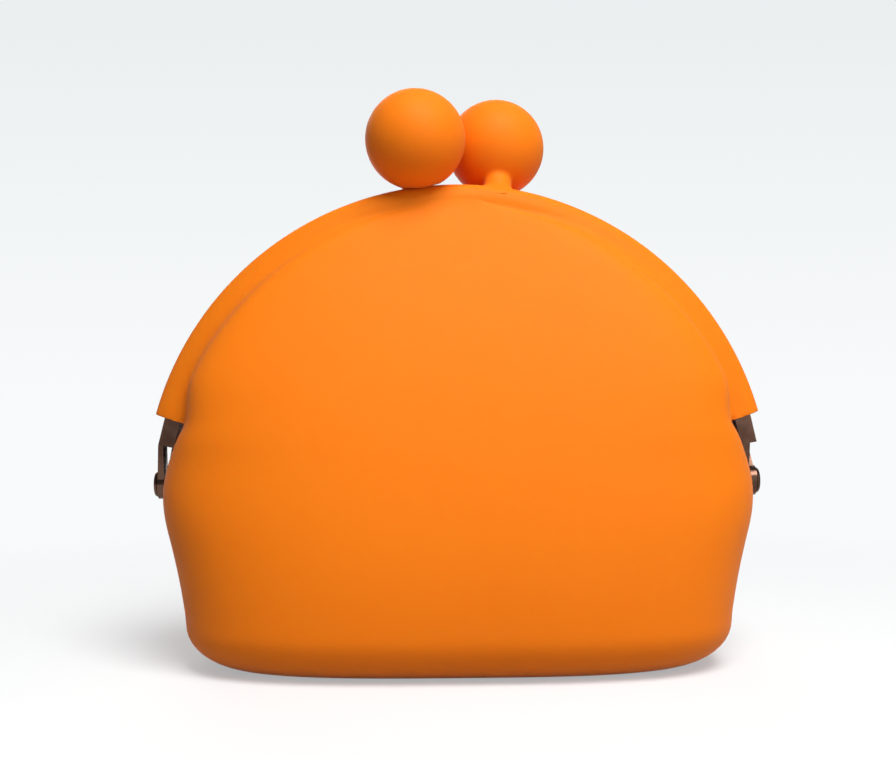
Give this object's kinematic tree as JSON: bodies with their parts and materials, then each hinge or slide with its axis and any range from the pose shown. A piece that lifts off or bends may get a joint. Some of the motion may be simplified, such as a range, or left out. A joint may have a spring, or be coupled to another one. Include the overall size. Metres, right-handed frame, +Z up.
{
  "type": "squeeze coin purse",
  "caption": "Round-topped silicone coin purse: a soft pouch under a hinged half-hoop metal frame, closed by a pair of covered balls that snap past each other.",
  "frame": {"origin": "middle of the flat base, under the middle of the closed purse", "axes": "+X across the purse along its hinge line, -Y towards the front panel, +Z up from the base to the balls"},
  "size_m": [0.1092, 0.05, 0.1016],
  "materials": {
    "silicone": "matte, smooth moulded, slightly dusty",
    "nickel_steel": "dark nickel plating, satin",
    "core_plastic": "plain moulded"
  },
  "bodies": {
    "pouch": {"pouch_bowl": "silicone", "left_rivet": "nickel_steel", "right_rivet": "nickel_steel"},
    "front_half": {"front_frame": "nickel_steel", "front_ball_pin": "nickel_steel", "front_ball_core": "core_plastic", "front_ball_cover": "silicone", "front_rim_sleeve": "silicone", "front_wall": "silicone"},
    "rear_half": {"rear_frame": "nickel_steel", "rear_ball_pin": "nickel_steel", "rear_ball_core": "core_plastic", "rear_ball_cover": "silicone", "rear_rim_sleeve": "silicone", "rear_wall": "silicone"}
  },
  "joints": [
    {"name": "front_open", "type": "hinge", "parent": "pouch", "child": "front_half", "pos_m": [0, 0, 0.0318], "axis": [1, 0, 0], "range_deg": [0, 30], "deforming": ["front_wall", "front_ball_cover"]},
    {"name": "rear_open", "type": "hinge", "parent": "pouch", "child": "rear_half", "pos_m": [0, 0, 0.0318], "axis": [-1, 0, 0], "range_deg": [0, 30], "deforming": ["rear_wall", "rear_ball_cover"]}
  ],
  "couplings": [
    {"joint": "rear_open", "follows": "front_open", "ratio": 1}
  ]
}
